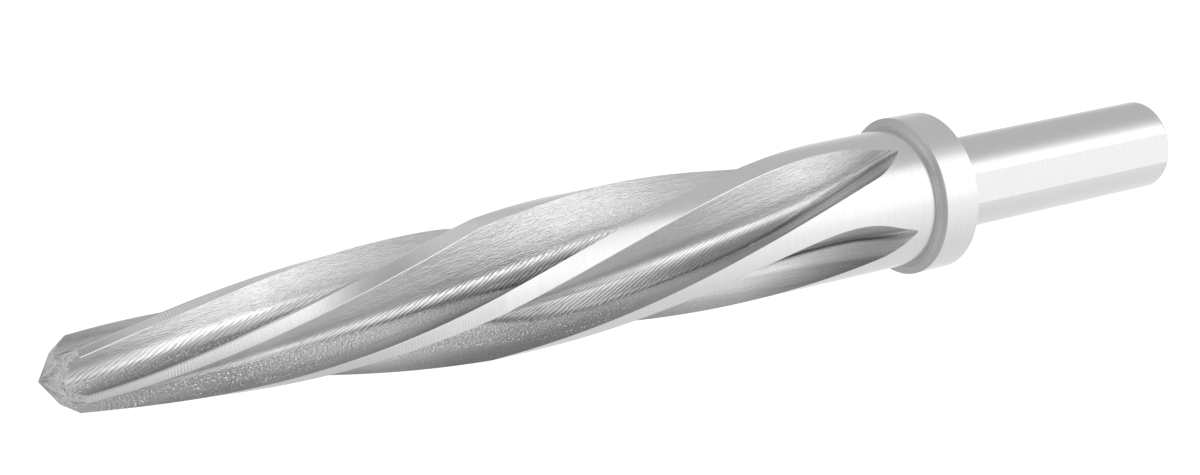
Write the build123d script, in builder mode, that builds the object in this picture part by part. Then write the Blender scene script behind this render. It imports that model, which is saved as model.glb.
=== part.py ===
"""A construction reamer: one solid of tool steel, with a three-flat shank, a stop collar,
a tapered cutting body with five left-hand spiral flutes, and a bevelled point.

The tool stands on the end of its shank, with its axis on Z and its point up. Millimetres.
"""

import os
from math import asin, cos, degrees, radians, sin

from build123d import *

# Lengths along the tool, from the end of the shank upward
shank_length = 40.0
collar_width = 5.5
body_length = 64.8
taper_length = 48.5
bevel_length = 2.1
cone_length = 1.9

# Diameters, and how far the collar stands out from the body
shank_diameter = 12.7
body_diameter = 18.85
collar_height = 1.425
taper_start_diameter = 18.2
taper_end_diameter = 9.0
cone_diameter = 5.9

# Edges of the turned blank
shank_end_fillet = 0.45
collar_edge_chamfer = 0.15
collar_root_fillet = 0.6

# Flats for the jaws or screws of the chuck
flat_count = 3
flat_depth = 0.35

# Flutes, milled along a helix. In a section across the tool, the cutting face is a straight
# line beside the flute's radial line. It ends at the root, where the nose turns away from it
# in arcs that open out towards the back. The nose reaches nose_depth past the root, inward.
flute_count = 5
flute_lead = 205.0
flute_start_angle = -19.4
flute_start_gap = 3.0
flute_runout = 8.5
flute_sections = 15
face_offset = 1.95
body_root_diameter = 10.9
tip_root_diameter = 9.3
nose_radius = 1.4
nose_growth = 1.14
nose_arcs = 6
nose_depth = 1.67
back_angle = 66.0

# Relief of the lands along the taper, ground flat behind a narrow margin at the cutting edge
margin_width = 0.3
relief_angle = 11.0
relief_sections = 9

# Places and radii that follow from the sizes above
collar_front = shank_length + collar_width
taper_start = collar_front + body_length
taper_end = taper_start + taper_length
bevel_end = taper_end + bevel_length
overall_length = bevel_end + cone_length
shank_radius = shank_diameter / 2
body_radius = body_diameter / 2
collar_radius = body_radius + collar_height
flute_start = collar_front + flute_start_gap
flute_end = overall_length + cone_length
flute_depth = body_radius - body_root_diameter / 2 + nose_depth


def along_taper(start, end, z):
    """A size that is even along the body and then changes evenly along the taper."""
    return start + (end - start) * max(0.0, (z - taper_start) / taper_length)


def cutter_lift(z):
    """How far the cutter stands clear of its full depth, which is all of it at the start."""
    return flute_depth / (1 + ((z - flute_start) / flute_runout) ** 2)


def section_plane(z, angle=0.0):
    """Plane across the tool at z, with its x axis that many degrees from the flute's radial line."""
    turn = radians(flute_start_angle - 360 * (z - flute_start) / flute_lead + angle)
    return Plane(origin=(0, 0, z), x_dir=(cos(turn), sin(turn), 0), z_dir=(0, 0, 1))


# The space that the cutter sweeps through for one flute
with BuildPart() as flute:
    for step in range(flute_sections):
        z = flute_start + (flute_end - flute_start) * step / (flute_sections - 1)
        root = along_taper(body_root_diameter, tip_root_diameter, z) / 2 + cutter_lift(z)
        with BuildSketch(section_plane(z)):
            with BuildLine():
                face = Line((root + body_diameter, -face_offset), (root, -face_offset))
                nose = face
                for arc in range(nose_arcs):
                    arc_radius = nose_radius * nose_growth**arc
                    nose = JernArc(nose @ 1, nose % 1, arc_radius, (back_angle - 180) / nose_arcs)
                back = PolarLine(nose @ 1, body_diameter, back_angle)
                Line(back @ 1, face @ 0)
            make_face()
    loft()

# The space that the wheel sweeps through for the relief of one land
with BuildPart() as relief:
    for step in range(relief_sections):
        z = taper_start + (flute_end - taper_start) * step / (relief_sections - 1)
        radius = along_taper(taper_start_diameter, taper_end_diameter, z) / 2
        margin_end = -degrees(asin(face_offset / radius) + margin_width / radius)
        with BuildSketch(section_plane(z, margin_end)):
            with Locations((radius, 0)):
                Rectangle(radius, radius, -relief_angle, align=(Align.MIN, Align.CENTER))
    loft()

# The turned blank, its flats, its flutes and their relief
with BuildPart() as reamer:
    with BuildSketch(Plane.XZ):
        with BuildLine():
            Polyline(
                (0, 0),
                (shank_radius, 0),
                (shank_radius, shank_length),
                (collar_radius, shank_length),
                (collar_radius, collar_front),
                (body_radius, collar_front),
                (taper_start_diameter / 2, taper_start),
                (taper_end_diameter / 2, taper_end),
                (cone_diameter / 2, bevel_end),
                (0, overall_length),
                close=True,
            )
        make_face()
    revolve(axis=Axis.Z)
    rims = reamer.edges().filter_by(GeomType.CIRCLE)
    shank_end_rim = rims.filter_by_position(Axis.Z, 0, 0)
    collar_rims = rims.filter_by(lambda rim: rim.radius == collar_radius)
    collar_root = rims.filter_by_position(Axis.Z, collar_front, collar_front).sort_by(SortBy.RADIUS)[0]
    fillet(collar_root, collar_root_fillet)
    fillet(shank_end_rim, shank_end_fillet)
    chamfer(collar_rims, collar_edge_chamfer)

    # Each flat takes a shallow slice off the shank, from its end to the collar
    with BuildSketch():
        with PolarLocations(shank_radius - flat_depth, flat_count):
            Rectangle(shank_radius, shank_diameter, align=(Align.MIN, Align.CENTER))
    extrude(amount=shank_length, mode=Mode.SUBTRACT)

    with PolarLocations(0, flute_count):
        add(flute.part, mode=Mode.SUBTRACT)
        add(relief.part, mode=Mode.SUBTRACT)

reamer.part.label = "reamer"
os.makedirs("parts", exist_ok=True)
export_step(reamer.part, "parts/reamer.step")
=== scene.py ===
"""A construction reamer of ground and milled steel, standing on its shank in a white studio."""
from math import asin, atan2, cos, hypot, pi, radians, sin, sqrt

import bpy
from mathutils import Matrix, Vector


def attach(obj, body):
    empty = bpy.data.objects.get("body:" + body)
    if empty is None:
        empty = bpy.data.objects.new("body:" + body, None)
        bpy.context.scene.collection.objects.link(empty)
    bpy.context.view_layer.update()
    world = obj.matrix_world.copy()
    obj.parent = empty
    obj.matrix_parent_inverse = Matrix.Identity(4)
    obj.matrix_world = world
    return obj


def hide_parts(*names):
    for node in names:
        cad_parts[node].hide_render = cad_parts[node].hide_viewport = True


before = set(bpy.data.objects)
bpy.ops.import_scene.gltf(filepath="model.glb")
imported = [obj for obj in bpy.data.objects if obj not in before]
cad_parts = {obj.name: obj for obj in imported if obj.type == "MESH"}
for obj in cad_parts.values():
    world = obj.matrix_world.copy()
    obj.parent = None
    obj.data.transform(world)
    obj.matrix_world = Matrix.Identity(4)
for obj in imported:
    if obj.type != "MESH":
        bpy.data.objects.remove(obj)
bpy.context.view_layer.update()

MM = 0.001

# The camera of the photograph, fitted to the tool's edges, in millimetres and degrees
SENSOR_WIDTH = 36.0
LENS = 57.0
CAMERA_PLACE = Vector((205.73, 46.66, 203.94)) * MM
CAMERA_TARGET = Vector((-0.589, 2.767, 91.75)) * MM
CAMERA_ROLL = radians(101.843)

# Lengths along the tool, from the end of the shank upward, in millimetres
SHANK_LENGTH = 40.0
COLLAR_FRONT = 45.5
TAPER_START = 110.3
TAPER_END = 158.8
BEVEL_END = 160.9
OVERALL_LENGTH = 162.8

# Radii of the turned blank, its edges and its flats
SHANK_RADIUS = 6.35
COLLAR_RADIUS = 10.85
BODY_RADIUS = 9.425
TAPER_START_RADIUS = 9.1
TAPER_END_RADIUS = 4.5
CONE_RADIUS = 2.95
SHANK_END_FILLET = 0.45
COLLAR_CHAMFER = 0.15
COLLAR_ROOT_FILLET = 0.6
FLAT_COUNT = 3
FLAT_DEPTH = 0.35

# The flutes: a straight cutting face, a nose of six opening arcs and a straight back
FLUTE_COUNT = 5
FLUTE_LEAD = 205.0
FLUTE_START = 48.5
FLUTE_START_ANGLE = radians(-19.4)
FLUTE_RUNOUT = 8.5
FLUTE_DEPTH = 5.645
FACE_OFFSET = 1.95
BODY_ROOT_RADIUS = 5.45
TIP_ROOT_RADIUS = 4.65
NOSE_RADIUS = 1.4
NOSE_GROWTH = 1.14
NOSE_ARCS = 6
NOSE_TURN = radians(114.0 / NOSE_ARCS)
NOSE_LENGTH = sum(NOSE_RADIUS * NOSE_GROWTH**arc * NOSE_TURN for arc in range(NOSE_ARCS))

# Relief of the lands along the taper, and the broken edge at their heels
MARGIN_WIDTH = 0.3
RELIEF_ANGLE = radians(11.0)
RELIEF_RISE = 9.0
HEEL_BREAK = 0.06

# Columns of the mesh in each part of a section, and rings in each part of the length
FACE_COLUMNS = 5
NOSE_COLUMNS = 16
BACK_COLUMNS = 12
LAND_COLUMNS = 16
MARGIN_COLUMNS = 2
FLAT_COLUMNS = 6
ARC_COLUMNS = 32
COLLAR_COLUMNS = 120
ROUND_RINGS = 6
SHANK_RINGS = 12
BAND_RINGS = 4
CONE_RINGS = 4
# Stretches of rings along the flutes: up to which height each goes, and how many steps it has
RING_STEPS = [
    (FLUTE_START + 2, 16), (76.0, 90), (TAPER_START, 55), (TAPER_END, 80), (BEVEL_END, 14),
]

# How finely a section is searched, and a reach that is well outside the blank
REACH_STEPS = 60
BISECT_STEPS = 40
FAR_REACH = 2 * BODY_RADIUS

# Corners that agree to this many decimals of a millimetre are one, and so are angles this close
PLACE_DIGITS = 4
ANGLE_SLACK = 1e-6

# Materials of the lands from the collar's front up
ZONE_MATERIALS = {
    "root": "turned", "body": "ground", "taper": "ground", "bevel": "point", "cone": "point",
}

SECTOR = 2 * pi / FLUTE_COUNT


def spread(start, end, count):
    """Evenly spaced values from start to end, both included, with count steps."""
    return [start + (end - start) * step / count for step in range(count + 1)]


def clamp(value, low, high):
    """The value, held between low and high."""
    return max(low, min(high, value))


def blank_radius(z):
    """Radius of the turned blank above the collar, without its root fillet."""
    profile = [
        (COLLAR_FRONT, BODY_RADIUS),
        (TAPER_START, TAPER_START_RADIUS),
        (TAPER_END, TAPER_END_RADIUS),
        (BEVEL_END, CONE_RADIUS),
        (OVERALL_LENGTH, 0.0),
    ]
    for (low, start), (high, end) in zip(profile, profile[1:]):
        if z <= high:
            return start + (end - start) * (z - low) / (high - low)
    return 0.0


def along_taper(start, end, z):
    """A size that is even along the body and then changes evenly along the taper."""
    return start + (end - start) * max(0.0, (z - TAPER_START) / (TAPER_END - TAPER_START))


def flute_root(z):
    """Where the cutting face ends, measured along the flute's radial line."""
    lift = FLUTE_DEPTH / (1 + ((z - FLUTE_START) / FLUTE_RUNOUT) ** 2)
    return along_taper(BODY_ROOT_RADIUS, TIP_ROOT_RADIUS, z) + lift


def flute_turn(z):
    """How far the flutes have turned about the tool's axis."""
    return FLUTE_START_ANGLE - 2 * pi * (z - FLUTE_START) / FLUTE_LEAD


def flute_point(reach, root):
    """Point of a flute's section: the face before reach 0, then the nose, then the back."""
    x, y, heading = root, -FACE_OFFSET, pi
    if reach <= 0:
        return x - reach, y
    for arc in range(NOSE_ARCS):
        radius = NOSE_RADIUS * NOSE_GROWTH**arc
        turn = min(reach / radius, NOSE_TURN)
        x += radius * (sin(heading) - sin(heading - turn))
        y += radius * (cos(heading - turn) - cos(heading))
        heading -= turn
        reach -= radius * NOSE_TURN
        if reach <= 0:
            return x, y
    return x + reach * cos(heading), y + reach * sin(heading)


def bisect(value_at, inside, outside):
    """Where value_at passes zero between an inside place and an outside one."""
    for _ in range(BISECT_STEPS):
        middle = (inside + outside) / 2
        if value_at(middle) < 0:
            inside = middle
        else:
            outside = middle
    return inside


def relief_radius(angle, edge_angle, radius):
    """Radius of the ground flat behind the margin, at an angle of the section."""
    return radius * cos(RELIEF_ANGLE) / cos(angle - edge_angle + RELIEF_ANGLE)


def section(z):
    """One fifth of a section: its strips by name, each a list of (x, y, across) in millimetres."""
    radius = blank_radius(z)
    root = flute_root(z)
    wheel_radius = along_taper(TAPER_START_RADIUS, TAPER_END_RADIUS, z)
    margin_angle = SECTOR - asin(FACE_OFFSET / wheel_radius) - MARGIN_WIDTH / wheel_radius

    # The relief comes in smoothly, where the wheel first touches the lands
    rise = clamp((z - TAPER_START) / RELIEF_RISE, 0.0, 1.0)
    relief_share = rise * rise * (3 - 2 * rise)

    def outer(angle):
        """Radius of the land, with its relief ground off along the taper."""
        if angle < margin_angle and relief_share:
            ground = min(radius, relief_radius(angle, margin_angle, wheel_radius))
            return radius + (ground - radius) * relief_share
        return radius

    def clearance(reach):
        """How far the flute's surface lies outside the land: below zero it is cut into the blank."""
        x, y = flute_point(reach, root)
        return hypot(x, y) - (outer(atan2(y, x)) if y > 0 else radius)

    reaches = spread(0.0, NOSE_LENGTH, REACH_STEPS)
    deepest = min(reaches, key=lambda reach: hypot(*flute_point(reach, root)))
    if clearance(deepest) < 0:
        first = bisect(clearance, deepest, -FAR_REACH)
        last = bisect(clearance, deepest, NOSE_LENGTH + FAR_REACH)
    else:
        first = last = deepest

    # At the flute's narrow start the broken edge is a tenth of its width
    edge_break = min(HEEL_BREAK, (last - first) / 10)
    floor_end = last - edge_break

    def flute_strip(values):
        """Points of the flute at these reaches, or on the blank where nothing is cut yet."""
        values = [clamp(value, first, floor_end) for value in values]
        points = [flute_point(value, root) for value in values]
        if first == last:
            points = [(x * radius / hypot(x, y), y * radius / hypot(x, y)) for x, y in points]
        return [(x, y, value) for (x, y), value in zip(points, values)]

    face = flute_strip(spread(min(first, 0.0), 0.0, FACE_COLUMNS))
    nose = flute_strip(spread(0.0, NOSE_LENGTH, NOSE_COLUMNS))
    back = flute_strip(spread(NOSE_LENGTH, max(floor_end, NOSE_LENGTH), BACK_COLUMNS))

    heel_x, heel_y = flute_point(last, root)
    start = atan2(heel_y, heel_x) + edge_break / radius if radius else 0.0
    edge_x, edge_y = flute_point(first, root)
    end = SECTOR + atan2(edge_y, edge_x)
    corner = clamp(margin_angle, start, end)

    def land_strip(angles):
        """Points of the land at these angles, with their distance from the cutting edge."""
        return [(outer(a) * cos(a), outer(a) * sin(a), (end - a) * radius) for a in angles]

    land = land_strip(spread(start, corner, LAND_COLUMNS))
    margin = land_strip(spread(corner, end, MARGIN_COLUMNS))
    heel = [back[-1], land[0]]
    return {"face": face, "nose": nose, "back": back, "heel": heel, "land": land, "margin": margin}


def place_key(place):
    """The rounded place by which corners are joined."""
    return tuple(round(value, PLACE_DIGITS) for value in place)


class Skin:
    """The tool's corners and faces. A face has a material and a smooth group, each corner of it a mark."""

    def __init__(self):
        self.places = {}
        self.faces = []
        self.materials = []
        self.groups = []
        self.marks = []

    def add(self, corners, material, group):
        """A face from corners of (x, y, z) points and (along, across) marks, in millimetres."""
        vertices, marks = [], []
        for point, mark in corners:
            vertex = self.places.setdefault(place_key(point), len(self.places))
            if vertex not in vertices:
                vertices.append(vertex)
                marks.append(mark)
        if len(vertices) > 2:
            self.faces.append(vertices)
            self.materials.append(material)
            self.groups.append(group)
            self.marks.extend(marks)

    def strip(self, low, high, material, group):
        """Faces between two rows of corners with as many corners each."""
        for step in range(len(low) - 1):
            self.add([low[step], low[step + 1], high[step + 1], high[step]], material, group)

    def bridge(self, low, high, material, group):
        """Triangles between two closed rows with different numbers of corners, by their angles."""
        begin = atan2(low[0][0][1], low[0][0][0]) - ANGLE_SLACK

        def angle(row, step):
            """Angle of a row's corner from just before the first one, over whole turns."""
            x, y = row[step % len(row)][0][:2]
            return (atan2(y, x) - begin) % (2 * pi) + 2 * pi * (step // len(row))

        nearest = min(range(len(high)), key=lambda step: angle(high, step))
        high = high[nearest:] + high[:nearest]
        one = two = 0
        while one < len(low) or two < len(high):
            a, b = low[one % len(low)], high[two % len(high)]
            if two >= len(high) or (one < len(low) and angle(low, one + 1) < angle(high, two + 1)):
                self.add([a, low[(one + 1) % len(low)], b], material, group)
                one += 1
            else:
                self.add([a, high[(two + 1) % len(high)], b], material, group)
                two += 1


def turned_row(angles, radius, z, along):
    """A closed row of corners on a circle, with the mark along the surface."""
    return [((radius * cos(a), radius * sin(a), z), (along, a * radius)) for a in angles]


def closed(row):
    """The row with its first corner again at the end, for a strip right round."""
    return row + row[:1]


def shank_row(radius, z):
    """A closed row round the shank, with straight parts where its flats are."""
    flat_plane = SHANK_RADIUS - FLAT_DEPTH
    half_width = sqrt(max(0.0, radius**2 - flat_plane**2))
    half_angle = atan2(half_width, flat_plane)
    row = []
    for flat in range(FLAT_COUNT):
        turn = 2 * pi * flat / FLAT_COUNT
        points = [(min(radius, flat_plane), y) for y in spread(-half_width, half_width, FLAT_COLUMNS)]
        arc = spread(half_angle, 2 * pi / FLAT_COUNT - half_angle, ARC_COLUMNS)
        points += [(radius * cos(a), radius * sin(a)) for a in arc[1:-1]]
        for x, y in points:
            place = (x * cos(turn) - y * sin(turn), x * sin(turn) + y * cos(turn), z)
            row.append((place, (z, atan2(place[1], place[0]) * radius)))
    return row


def add_shank(skin):
    """The shank with its rounded end and flats, up to the collar's rear face."""
    low_radius = SHANK_RADIUS - SHANK_END_FILLET
    rows = []
    for turn in spread(0, pi / 2, ROUND_RINGS):
        radius = low_radius + SHANK_END_FILLET * sin(turn)
        rows.append(shank_row(radius, SHANK_END_FILLET * (1 - cos(turn))))
    rows += [shank_row(SHANK_RADIUS, z) for z in spread(SHANK_END_FILLET, SHANK_LENGTH, SHANK_RINGS)[1:]]
    columns = FLAT_COLUMNS + ARC_COLUMNS
    for step, (low, high) in enumerate(zip(rows, rows[1:])):
        low, high = closed(low), closed(high)
        for column in range(len(low) - 1):
            if column % columns < FLAT_COLUMNS:
                group = f"flat {column // columns}"
            elif step < ROUND_RINGS:
                group = "shank round"
            else:
                group = "shank"
            skin.strip(low[column:column + 2], high[column:column + 2], "ground", group)
    centre = ((0.0, 0.0, 0.0), (0.0, 0.0))
    bottom = closed([(place, (low_radius, mark[1])) for place, mark in rows[0]])
    for one, two in zip(bottom, bottom[1:]):
        skin.add([centre, two, one], "turned", "shank end")
    return rows[-1]


def body_row(z, radius=None):
    """The strips of all five sections at z, by name and in order round the tool.

    With a radius, every corner is drawn in or out to it: the blank below the flutes and the cone.
    """
    at = clamp(z, FLUTE_START, BEVEL_END)
    strips = section(at)
    sectors = []
    for flute in range(FLUTE_COUNT):
        turn = flute_turn(at) + flute * SECTOR
        sector = {}
        for name, points in strips.items():
            corners = []
            for x, y, across in points:
                if radius is not None:
                    scale = radius / hypot(x, y)
                    x, y = x * scale, y * scale
                place = (x * cos(turn) - y * sin(turn), x * sin(turn) + y * cos(turn), z)
                corners.append((place, (z, across)))
            sector[name] = corners
        sectors.append(sector)
    return sectors


def outline(sectors):
    """One closed row of corners from a body row, without the places that repeat."""
    row = {}
    for sector in sectors:
        for corners in sector.values():
            for place, mark in corners:
                row.setdefault(place_key(place), (place, mark))
    return list(row.values())


def add_collar(skin, shank_top):
    """The stop collar between the shank and the body."""
    angles = spread(0, 2 * pi, COLLAR_COLUMNS)[:-1]
    inner = COLLAR_RADIUS - COLLAR_CHAMFER
    rear = turned_row(angles, inner, SHANK_LENGTH, inner)
    shank_edge = [(place, (SHANK_RADIUS, mark[1])) for place, mark in shank_top]
    skin.bridge(shank_edge, rear, "turned", "collar rear")
    profile = [
        (inner, SHANK_LENGTH),
        (COLLAR_RADIUS, SHANK_LENGTH + COLLAR_CHAMFER),
        (COLLAR_RADIUS, COLLAR_FRONT - COLLAR_CHAMFER),
        (inner, COLLAR_FRONT),
    ]
    names = ["collar rear chamfer", "collar", "collar front chamfer"]
    for (low_radius, low), (high_radius, high), name in zip(profile, profile[1:], names):
        one = closed(turned_row(angles, low_radius, low, low))
        two = closed(turned_row(angles, high_radius, high, high))
        skin.strip(one, two, "ground" if name == "collar" else "turned", name)
    return turned_row(angles, inner, COLLAR_FRONT, inner)


def ring_heights():
    """Heights of the rings along the flutes, close together where the surface turns most."""
    low = FLUTE_START
    heights = [low]
    for high, count in RING_STEPS:
        heights += spread(low, high, count)[1:]
        low = high
    return heights


def strip_surface(zone, strip):
    """Material and smooth group of a strip's faces in a zone of the body."""
    if strip in ("face", "nose", "back"):
        return "flute", "flute"
    own_group = zone == "taper" or strip == "heel"
    return ZONE_MATERIALS[zone], (zone + strip if own_group else zone)


def add_body(skin, collar_edge):
    """The body with its flutes and lands, from the collar's front face to the point."""
    face_edge = BODY_RADIUS + COLLAR_ROOT_FILLET
    rows = []
    for turn in spread(0, pi / 2, ROUND_RINGS):
        radius = face_edge - COLLAR_ROOT_FILLET * sin(turn)
        z = COLLAR_FRONT + COLLAR_ROOT_FILLET * (1 - cos(turn))
        rows.append((body_row(z, radius), "root"))
    skin.bridge(collar_edge, outline(rows[0][0]), "turned", "collar front")
    top = COLLAR_FRONT + COLLAR_ROOT_FILLET
    for z in spread(top, FLUTE_START, BAND_RINGS)[1:-1]:
        rows.append((body_row(z, blank_radius(z)), "body"))
    for z in ring_heights():
        zone = "body" if z <= TAPER_START else "taper" if z <= TAPER_END else "bevel"
        rows.append((body_row(z), zone))
    for z in spread(BEVEL_END, OVERALL_LENGTH, CONE_RINGS)[1:]:
        rows.append((body_row(z, blank_radius(z)), "cone"))
    for (low, _), (high, zone) in zip(rows, rows[1:]):
        for one, two in zip(low, high):
            for name in one:
                skin.strip(one[name], two[name], *strip_surface(zone, name))


def make_mesh(skin, name, materials):
    """The mesh object in metres, smooth inside each group and sharp between groups."""
    mesh = bpy.data.meshes.new(name)
    mesh.from_pydata([Vector(place) * MM for place in skin.places], [], skin.faces)
    names = list(materials)
    for material in materials.values():
        mesh.materials.append(material)
    mesh.polygons.foreach_set("material_index", [names.index(one) for one in skin.materials])
    mesh.polygons.foreach_set("use_smooth", [True] * len(skin.faces))
    marks = mesh.attributes.new("surface_mm", "FLOAT_VECTOR", "CORNER")
    values = [value for along, across in skin.marks for value in (along, across, 0.0)]
    marks.data.foreach_set("vector", values)
    sharp = mesh.attributes.new("sharp_edge", "BOOLEAN", "EDGE")
    groups = [set() for _ in mesh.edges]
    for polygon in mesh.polygons:
        for loop in polygon.loop_indices:
            groups[mesh.loops[loop].edge_index].add(skin.groups[polygon.index])
    sharp.data.foreach_set("value", [len(group) > 1 for group in groups])
    piece = bpy.data.objects.new(name, mesh)
    bpy.context.collection.objects.link(piece)
    return piece


def make_camera():
    """The photograph's view: from the side and above, rolled so that the tool lies across the frame."""
    data = bpy.data.cameras.new("camera")
    data.sensor_width = SENSOR_WIDTH
    data.lens = LENS
    camera = bpy.data.objects.new("camera", data)
    bpy.context.collection.objects.link(camera)
    look = (CAMERA_TARGET - CAMERA_PLACE).to_track_quat("-Z", "Y").to_matrix().to_4x4()
    camera.matrix_world = Matrix.Translation(CAMERA_PLACE) @ look @ Matrix.Rotation(-CAMERA_ROLL, 4, "Z")
    bpy.context.scene.camera = camera


class Graph:
    """A node tree with short calls for adding nodes and joining them."""

    def __init__(self, tree):
        self.nodes = tree.nodes
        self.links = tree.links

    def add(self, kind, inputs=(), **settings):
        """A node with its settings, and its inputs by name or number: values are set, outputs linked."""
        node = self.nodes.new("ShaderNode" + kind)
        for name, value in settings.items():
            setattr(node, name, value)
        for name, value in dict(inputs).items():
            if isinstance(value, bpy.types.NodeSocket):
                self.links.new(value, node.inputs[name])
            else:
                node.inputs[name].default_value = value
        return node

    def math(self, operation, *values):
        """The result of a Math node on values or outputs."""
        return self.add("Math", dict(enumerate(values)), operation=operation).outputs[0]

    def remap(self, value, low, high, new_low=0.0, new_high=1.0, smooth=False):
        """The value's range from low to high mapped to a new range, and held at its ends."""
        kind = "SMOOTHSTEP" if smooth else "LINEAR"
        ends = {"From Min": low, "From Max": high, "To Min": new_low, "To Max": new_high}
        return self.add("MapRange", {"Value": value, **ends}, interpolation_type=kind).outputs[0]

    def rest(self, value):
        """What the value leaves of one."""
        return self.math("SUBTRACT", 1.0, value)

    def product(self, *values):
        """The values multiplied together."""
        result = values[0]
        for value in values[1:]:
            result = self.math("MULTIPLY", result, value)
        return result

    def ramp(self, value, stops):
        """The level at the value, from a table of (place, level) stops. Levels may pass 1."""
        low, high = stops[0][0], stops[-1][0]
        brightest = max(level for _, level in stops)
        node = self.add("ValToRGB", {"Fac": self.remap(value, low, high)})
        elements = node.color_ramp.elements
        for place, level in stops:
            position = (place - low) / (high - low)
            ends = {0.0: elements[0], 1.0: elements[len(elements) - 1]}
            stop = ends.get(position) or elements.new(position)
            stop.color = (level / brightest,) * 3 + (1,)
        return self.math("MULTIPLY", node.outputs["Color"], brightest)


# The floor is pale paper that takes the tool's shadow, with a glow that lifts it to white
FLOOR_SIZE = 6.0
FLOOR_GREY = 0.6
FLOOR_GLOW = 0.8


def make_floor():
    """A floor for the camera only: the steel mirrors the studio below it."""
    bpy.ops.mesh.primitive_plane_add(size=FLOOR_SIZE, location=(0, 0, 0))
    floor = bpy.context.object
    floor.name = "floor"
    material = bpy.data.materials.new("floor")
    material.use_nodes = True
    material.node_tree.nodes.clear()
    graph = Graph(material.node_tree)
    paper = graph.add("BsdfDiffuse", {"Color": (FLOOR_GREY, FLOOR_GREY, FLOOR_GREY, 1)})
    glow = graph.add("Emission", {"Strength": FLOOR_GLOW})
    lit = graph.add("AddShader", {0: paper.outputs[0], 1: glow.outputs[0]})
    clear = graph.add("BsdfTransparent")
    seen = graph.add("LightPath").outputs["Is Camera Ray"]
    mix = graph.add("MixShader", {0: seen, 1: clear.outputs[0], 2: lit.outputs[0]})
    graph.add("OutputMaterial", {"Surface": mix.outputs[0]})
    floor.data.materials.append(material)


# How bright the studio is that the steel mirrors, by the angle from the camera's side in degrees, in
# four zones one above the other, and the share of it by height, from -1 straight down to 1 straight up
STUDIO_BOTTOM = [
    (-180, 1.15), (-165, 1.05), (-145, 0.95), (-90, 0.9), (-60, 1.0), (-25, 1.2), (-15, 1.4), (0, 1.55),
    (32, 1.55), (44, 1.0), (58, 0.68), (75, 0.6), (130, 0.58), (155, 0.75), (180, 1.35),
]
STUDIO_LOW = [
    (-180, 1.0), (-165, 0.9), (-145, 0.8), (-90, 0.84), (-60, 0.98), (-25, 1.16),
    (-15, 1.3), (36, 1.32), (48, 0.75), (62, 0.62), (130, 0.6), (155, 0.8), (180, 1.35),
]
STUDIO_HIGH = [
    (-180, 1.0), (-150, 0.88), (-112, 0.88), (-82, 1.05), (-67, 1.2), (-37, 1.35), (-22, 1.48), (-5, 1.65),
    (10, 1.7), (22, 1.25), (36, 0.72), (52, 0.6), (67, 0.78), (82, 0.93), (112, 0.9), (127, 0.82),
    (157, 0.86), (180, 1.2),
]
STUDIO_TOP = [
    (-180, 1.25), (-150, 1.12), (-112, 1.18), (-82, 1.2), (-60, 1.1), (-37, 1.0), (-22, 1.04), (-5, 1.14),
    (10, 1.2), (22, 0.95), (36, 0.78), (52, 1.0), (67, 1.3), (82, 1.4), (112, 1.4), (127, 1.3),
    (157, 1.15), (180, 1.3),
]
STUDIO_HEIGHT = [
    (-1.0, 1.0), (-0.5, 1.0), (-0.3, 0.82), (-0.12, 0.71), (0.0, 0.37), (0.12, 0.22), (0.3, 0.22),
    (0.5, 0.45), (1.0, 0.6),
]
# The heights between which one zone gives way to the next
BOTTOM_TO_LOW = (-0.72, -0.52)
LOW_TO_HIGH = (-0.5, -0.3)
HIGH_TO_TOP = (-0.16, 0.0)


def make_light():
    """The studio as a world: white to the camera, and the tables' brightness to everything else."""
    world = bpy.data.worlds.new("world")
    world.use_nodes = True
    graph = Graph(world.node_tree)
    camera_side = atan2(CAMERA_PLACE.y, CAMERA_PLACE.x)
    direction = graph.add("TexCoord").outputs["Generated"]
    turned = graph.add("Mapping", {"Vector": direction, "Rotation": (0, 0, -camera_side)})
    parts = graph.add("SeparateXYZ", {"Vector": turned.outputs[0]}).outputs
    angle = graph.math("DEGREES", graph.math("ARCTAN2", parts["Y"], parts["X"]))
    bottom = graph.remap(parts["Z"], *BOTTOM_TO_LOW, 1.0, 0.0)
    upper = graph.remap(parts["Z"], *LOW_TO_HIGH)
    top = graph.remap(parts["Z"], *HIGH_TO_TOP)
    low = graph.math("SUBTRACT", graph.rest(upper), bottom)
    high = graph.math("SUBTRACT", upper, top)
    around = 0.0
    zones = ((bottom, STUDIO_BOTTOM), (low, STUDIO_LOW), (high, STUDIO_HIGH), (top, STUDIO_TOP))
    for share, stops in zones:
        around = graph.math("MULTIPLY_ADD", share, graph.ramp(angle, stops), around)
    level = graph.math("MULTIPLY", around, graph.ramp(parts["Z"], STUDIO_HEIGHT))
    seen = graph.add("LightPath").outputs["Is Camera Ray"]
    background = world.node_tree.nodes["Background"]
    graph.links.new(graph.math("MAXIMUM", level, seen), background.inputs["Color"])
    bpy.context.scene.world = world
    bpy.context.scene.view_settings.view_transform = "Standard"


# Nearly all values of a noise texture lie in this range
NOISE_RANGE = (0.25, 0.75)


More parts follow.
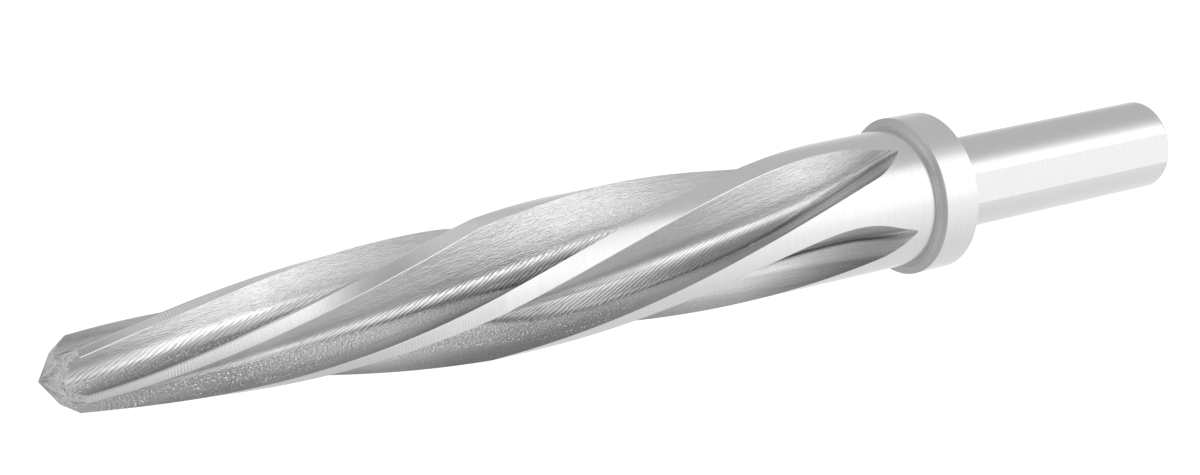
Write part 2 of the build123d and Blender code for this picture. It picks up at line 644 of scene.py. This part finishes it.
class Steel(Graph):
    """A steel material. Its textures read the marks along and across the surface, in millimetres."""

    def __init__(self, name):
        self.material = bpy.data.materials.new(name)
        self.material.use_nodes = True
        super().__init__(self.material.node_tree)
        self.shader = self.nodes["Principled BSDF"]
        self.shader.inputs["Metallic"].default_value = 1.0
        self.marks = self.add("Attribute", attribute_name="surface_mm").outputs["Vector"]
        parts = self.add("SeparateXYZ", {"Vector": self.marks}).outputs
        self.along, self.across = parts["X"], parts["Y"]

    def grain(self, along, across, detail=2.0, shift=0.0):
        """Noise from -1 to 1, with grains that many millimetres long and wide. A shift gives another."""
        size = {"Scale": (1 / along, 1 / across, 1), "Location": (shift, shift, shift)}
        place = self.add("Mapping", {"Vector": self.marks, **size})
        noise = self.add("TexNoise", {"Vector": place.outputs[0], "Scale": 1.0, "Detail": detail})
        return self.remap(noise.outputs["Fac"], *NOISE_RANGE, -1.0, 1.0)

    def wave(self, value, spacing):
        """A sine that repeats each time the value grows by the spacing."""
        return self.math("SINE", self.math("MULTIPLY", value, 2 * pi / spacing))

    def total(self, *terms):
        """The sum of terms, each a value or a (value, factor) pair."""
        result = None
        for term in terms:
            value = self.math("MULTIPLY", *term) if isinstance(term, tuple) else term
            result = value if result is None else self.math("ADD", result, value)
        return result

    def finish(self, level, roughness, height):
        """Set the grey level, the roughness and the height of the surface in millimetres."""
        self.links.new(self.math("MINIMUM", level, 1.0), self.shader.inputs["Base Color"])
        if isinstance(roughness, float):
            self.shader.inputs["Roughness"].default_value = roughness
        else:
            self.links.new(roughness, self.shader.inputs["Roughness"])
        bump = self.add("Bump", {"Height": height, "Distance": MM, "Strength": 1.0})
        self.links.new(bump.outputs[0], self.shader.inputs["Normal"])
        return self.material


# Ground steel, and the ribs that the wheel left on the taper
GROUND_GREY = 0.74
GROUND_ROUGHNESS = 0.19
RIB_SPACING = 0.36
RIBS_IN = (108.0, 116.0)
# The painted shadow on the cutting edges, a dark line in the colour: its full and its whole width, where
# it comes in along the tool, and how dark it is
EDGE_SHADOW_WIDTH = (0.08, 0.2)
EDGE_SHADOW_IN = (128.0, 142.0)
EDGE_SHADOW_DEPTH = 0.25


def ground_steel():
    """Ground surfaces: fine lines round the tool, on the taper speckle and faint ribs as well, and a
    painted shadow along the cutting edges near the point.
    """
    steel = Steel("ground_steel")
    on_taper = steel.remap(steel.along, *RIBS_IN)
    fine = steel.product(steel.grain(0.09, 3.0), steel.total(1.0, on_taper))
    bands = steel.grain(0.4, 6.0, shift=3.0)
    speckle = steel.product(steel.grain(0.22, 0.22, detail=3.0, shift=8.0), on_taper)
    patches = steel.remap(steel.grain(5.0, 9.0, shift=12.0), -0.1, 0.7)
    ribs = steel.product(steel.wave(steel.along, RIB_SPACING), patches, on_taper)
    # Painted shadow: the lands are darker beside the cutting edges near the point, where the edge lies in
    # shade
    edge = steel.product(
        steel.remap(steel.across, *EDGE_SHADOW_WIDTH, 1.0, 0.0),
        steel.remap(steel.along, *EDGE_SHADOW_IN, 0.0, EDGE_SHADOW_DEPTH),
    )
    level = steel.total(
        (fine, 0.018), (bands, 0.012), (speckle, 0.05), (ribs, 0.07), (edge, -1.0), GROUND_GREY
    )
    height = steel.total((fine, 0.0003), (bands, 0.0005), (ribs, 0.0012), (speckle, 0.001))
    return steel.finish(level, GROUND_ROUGHNESS, height)


# Turned steel. Its rings stretch the gloss by this much, turned by this share of a full turn
TURNED_GREY = 0.83
TURNED_ROUGHNESS = 0.42
TURNED_STRETCH = 0.9
STRETCH_TURN = 0.25


def turned_steel():
    """Turned faces: darker and lighter rings that the tool's tip left, and a streaked gloss."""
    steel = Steel("turned_steel")
    rings = steel.grain(0.2, 20.0, detail=1.0)
    spots = steel.grain(0.5, 0.5, detail=3.0, shift=6.0)
    level = steel.total((rings, 0.06), (spots, 0.05), TURNED_GREY)
    steel.shader.inputs["Anisotropic"].default_value = TURNED_STRETCH
    steel.shader.inputs["Anisotropic Rotation"].default_value = STRETCH_TURN
    tangent = steel.add("Tangent", direction_type="RADIAL", axis="Z")
    steel.links.new(tangent.outputs[0], steel.shader.inputs["Tangent"])
    return steel.finish(level, TURNED_ROUGHNESS, steel.total((rings, 0.002), (spots, 0.002)))


# Steel of the point
POINT_GREY = 0.92
POINT_ROUGHNESS = 0.42


def rough_point():
    """The point and its bevel, ground by hand: coarse speckle and patches."""
    steel = Steel("rough_point")
    speckle = steel.grain(0.26, 0.24, detail=4.0)
    patches = steel.grain(1.1, 0.9, shift=4.0)
    level = steel.total((speckle, 0.3), (patches, 0.35), POINT_GREY)
    return steel.finish(level, POINT_ROUGHNESS, steel.total((speckle, 0.1)))


# The ragged line where the cutting face's finish meets the nose's: its reach across the flute, by
# the height along the tool. Near the start it is the crease at the bottom of the narrow flute
FACE_END = [
    (48.0, 2.4), (54.0, 3.0), (57.0, 3.1), (60.0, 2.8), (65.0, 2.1), (70.0, 1.2), (75.0, 0.6),
    (80.0, 0.3), (88.0, -0.1), (96.0, -0.3), (104.0, 0.5), (112.0, 1.9), (120.0, 2.2), (163.0, 2.4),
]
# How much darker the steel is along that line, by the height along the tool: painted shade at the bottom
# of the flute
EDGE_SHADE = [
    (48.0, 0.35), (58.0, 0.45), (66.0, 0.55), (74.0, 0.4), (90.0, 0.15), (104.0, 0.45), (125.0, 0.35),
    (140.0, 0.0),
]
# Grey of the cutting face by reach across the flute, and the share of it by height along the tool: painted
# reflections of the studio and painted shade in the flute
FACE_GREY = [(-3.3, 0.35), (-2.8, 0.37), (-2.0, 0.42), (-1.2, 0.58), (-0.4, 0.74), (0.4, 0.74), (2.5, 0.8)]
FACE_PAINTED_LIGHT = [
    (48.0, 0.82), (56.0, 0.85), (62.0, 0.88), (67.0, 1.15), (73.0, 1.5), (84.0, 1.38), (95.0, 1.08),
    (105.0, 0.9), (115.0, 0.95), (123.0, 1.2), (132.0, 0.92), (142.0, 0.58), (152.0, 0.68), (163.0, 0.9),
]
# The same for the nose, its crest and the back: painted reflections and shade, and a painted highlight on
# the crest. The back's first grey and its share count there too
NOSE_GREY = [(-0.4, 0.8), (0.3, 0.64), (0.8, 0.4), (1.6, 0.42), (2.1, 0.52), (2.5, 0.76), (2.9, 1.0)]
NOSE_PAINTED_LIGHT = [
    (48.0, 0.95), (56.0, 0.85), (66.0, 0.72), (74.0, 0.92), (82.0, 1.0), (92.0, 1.3), (99.0, 1.35),
    (106.0, 1.15), (115.0, 1.2), (125.0, 1.6), (134.0, 1.7), (142.0, 2.3), (150.0, 3.2), (163.0, 4.2),
]
CREST_PAINTED_LIGHT = [
    (48.0, 0.95), (56.0, 0.85), (66.0, 0.55), (74.0, 0.66), (82.0, 0.85), (92.0, 0.72), (99.0, 0.6),
    (106.0, 0.58), (115.0, 0.62), (125.0, 0.75), (134.0, 0.78), (142.0, 0.92), (150.0, 1.08),
    (163.0, 1.15),
]
BACK_GREY = [
    (2.9, 0.9), (3.3, 0.78), (3.7, 0.8), (4.0, 0.72), (4.4, 0.63), (5.0, 0.7), (6.0, 0.77), (9.5, 0.76),
]
BACK_PAINTED_LIGHT = [
    (48.0, 0.64), (58.0, 0.8), (64.0, 0.98), (90.0, 0.98), (104.0, 0.98), (126.0, 0.96), (138.0, 1.06),
    (150.0, 0.88), (158.0, 0.66),
]
# The painted light again for the strip of the back that lies beside the crest
STRIP_PAINTED_LIGHT = [
    (48.0, 0.85), (64.0, 0.88), (70.0, 0.96), (90.0, 0.95), (104.0, 1.0), (112.0, 1.05), (134.0, 1.02),
    (140.0, 1.2), (146.0, 1.2), (153.0, 1.0), (163.0, 0.95),
]

# A ramp gives nothing below zero, so the line's reach goes through it this much larger
REACH_LIFT = 1.0
# Half the width over which one finish gives way to the next, at the line and at the back
FACE_BLEND = 0.04
BACK_BLEND = 0.4
# The painted shade along the line: how far past it, and where it is full and where it ends to each side
SHADE_PLACE = 0.1
SHADE_WIDTH = (0.1, 0.6)
# How far the line strays, and the feed marks' spacing, their shift along for each millimetre across
# and how far they wander
RAGGED = 0.12
STRIPE_SPACING = 0.98
STRIPE_SKEW = 2.3
STRIPE_WANDER = 0.3
# Reaches over which the low nose and its crest end, and the strip beside the crest begins and ends
LOW_NOSE_OUT = (2.1, 2.4)
CREST_OUT = (2.9, 3.3)
STRIP_IN = (2.9, 3.4)
STRIP_OUT = (4.4, 5.4)
# The dip of the nose, by reach and depth, and the crease to each side of the line
DIP_REACH = (1.0, 3.9)
DIP_DEPTH = 0.75
CREASE_WIDTH = 0.7
# How far before the line the face starts to be rough and to sparkle, and is fully so
ROUGH_REACH = (-3.4, -1.6)
# Heights along the tool over which each of these comes in or fades out
RAGGED_IN = (62.0, 74.0)
STREAKS_OUT = (62.0, 80.0)
STRIPES_IN = (68.0, 92.0)
STRIPES_OUT = (120.0, 150.0)
ROUGH_IN = (88.0, 100.0)
ROUGH_OUT = (132.0, 150.0)
DIP_IN = (64.0, 78.0)
DIP_OUT = (136.0, 152.0)
CREASE_OUT = (66.0, 74.0)


def milled_steel():
    """The flutes: a speckled cutting face, a nose with slanting feed marks and a grained back, with
    painted reflections, shade and glints in their grey.
    """
    steel = Steel("milled_steel")
    along, across = steel.along, steel.across

    # How far each place is past the ragged line, and the shares of the three finishes
    line = steel.ramp(along, [(z, reach + REACH_LIFT) for z, reach in FACE_END])
    teeth = steel.product(steel.grain(0.8, 1000.0, detail=3.0), steel.remap(along, *RAGGED_IN, 0.15, 1.0))
    past_line = steel.total(across, (line, -1.0), REACH_LIFT, (teeth, RAGGED))
    face = steel.remap(past_line, -FACE_BLEND, FACE_BLEND, 1.0, 0.0, smooth=True)
    beyond = steel.rest(face)
    back = steel.remap(across, NOSE_LENGTH - BACK_BLEND, NOSE_LENGTH + BACK_BLEND, smooth=True)
    nose = steel.product(beyond, steel.rest(back))

    # Feed marks, grain and sparkle: the sparkle's grains are real bumps, and in the face's grey they are
    # painted glints
    wander = steel.grain(2.5, 1.0, shift=5.0)
    phase = steel.total(along, (across, STRIPE_SKEW), (wander, STRIPE_WANDER))
    strength = steel.remap(steel.grain(1.6, 0.7, shift=9.0), -0.8, 0.8, 0.35, 1.0)
    striped = steel.product(
        steel.remap(along, *STRIPES_IN, 0.15, 1.0),
        steel.remap(along, *STRIPES_OUT, 1.0, 0.6),
    )
    stripes = steel.product(steel.wave(phase, STRIPE_SPACING), strength, striped, nose)
    flecks = steel.grain(1.1, 0.14, detail=3.0, shift=1.0)
    streaked = steel.remap(along, *STREAKS_OUT, 1.0, 0.25)
    streaks = steel.product(steel.grain(7.0, 0.09, detail=3.0, shift=7.0), streaked)
    broad = steel.grain(4.0, 0.7, shift=2.0)
    speckle = steel.grain(0.3, 0.17, detail=4.0, shift=4.0)
    rough = steel.product(
        steel.remap(along, *ROUGH_IN),
        steel.remap(along, *ROUGH_OUT, 1.0, 0.25),
        steel.remap(past_line, *ROUGH_REACH),
        face,
    )
    sparks = steel.remap(steel.grain(0.27, 0.22, detail=0.0, shift=11.0), 0.38, 0.6)
    clusters = steel.remap(steel.grain(3.0, 1.2, shift=13.0), -0.4, 0.5, 0.15, 1.8)
    sparkle = steel.product(rough, steel.product(sparks, clusters))

    # Grey of the face: painted reflections and shade by reach and height, its speckle and streaks, and
    # painted glints where it sparkles
    face_grey = steel.product(
        steel.ramp(across, FACE_GREY),
        steel.ramp(along, FACE_PAINTED_LIGHT),
        steel.total(1.0, (speckle, 0.14), (streaks, 0.2)),
        # Painted glints: the sparkle lightens the face's grey
        steel.total(1.0, (sparkle, 1.9)),
    )

    # Grey of the nose and the back: painted reflections and shade by reach and height, a painted highlight
    # on the crest, and the feed marks, flecks and grain
    low_nose = steel.remap(across, *LOW_NOSE_OUT, 1.0, 0.0)
    crest = steel.total(steel.remap(across, *CREST_OUT, 1.0, 0.0), (low_nose, -1.0))
    strip = steel.product(steel.remap(across, *STRIP_IN), steel.remap(across, *STRIP_OUT, 1.0, 0.0))
    nose_painted_light = 1.0
    for zone, stops in ((low_nose, NOSE_PAINTED_LIGHT), (crest, CREST_PAINTED_LIGHT), (strip, STRIP_PAINTED_LIGHT)):
        change = steel.total(steel.ramp(along, stops), -1.0)
        nose_painted_light = steel.total(nose_painted_light, steel.product(zone, change))
    nose_grey = steel.product(
        steel.ramp(across, NOSE_GREY),
        steel.ramp(across, BACK_GREY),
        steel.ramp(along, BACK_PAINTED_LIGHT),
        nose_painted_light,
        steel.total(1.0, (stripes, 0.32), (flecks, 0.1), (broad, 0.06), (streaks, 0.2)),
    )

    # The greys together, with painted shade along the line
    from_shade = steel.math("ABSOLUTE", steel.total(past_line, -SHADE_PLACE))
    shade = steel.product(
        steel.remap(from_shade, *SHADE_WIDTH, 1.0, 0.0, smooth=True),
        steel.ramp(along, EDGE_SHADE),
    )
    level = steel.total(steel.product(face, face_grey), steel.product(beyond, nose_grey))
    level = steel.product(level, steel.rest(shade))

    # The mill left the nose a little deeper towards the back, up to the crest where it turns
    dip = steel.product(
        steel.remap(across, *DIP_REACH, 0.0, -DIP_DEPTH, smooth=True),
        steel.remap(along, *DIP_IN),
        steel.remap(along, *DIP_OUT, 1.0, 0.2),
    )
    crease = steel.product(
        steel.remap(steel.math("ABSOLUTE", past_line), 0.0, CREASE_WIDTH, -1.0, 0.0),
        steel.remap(along, *CREASE_OUT, 1.0, 0.0),
    )
    height = steel.total(
        (steel.product(back, flecks), 0.022),
        (steel.product(back, broad), 0.020),
        (stripes, 0.016),
        (steel.product(nose, flecks), 0.003),
        (streaks, 0.005),
        (steel.product(face, speckle), 0.010),
        (steel.product(rough, speckle), 0.04),
        (sparkle, 0.035),
        (crease, 0.18),
        dip,
    )
    roughness = steel.total(0.27, (face, 0.13), (back, 0.1))
    return steel.finish(level, roughness, height)


make_camera()
make_floor()
make_light()
skin = Skin()
add_body(skin, add_collar(skin, add_shank(skin)))
materials = {
    "ground": ground_steel(),
    "turned": turned_steel(),
    "flute": milled_steel(),
    "point": rough_point(),
}
tool = make_mesh(skin, "reamer_steel", materials)
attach(tool, "root")
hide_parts("reamer")
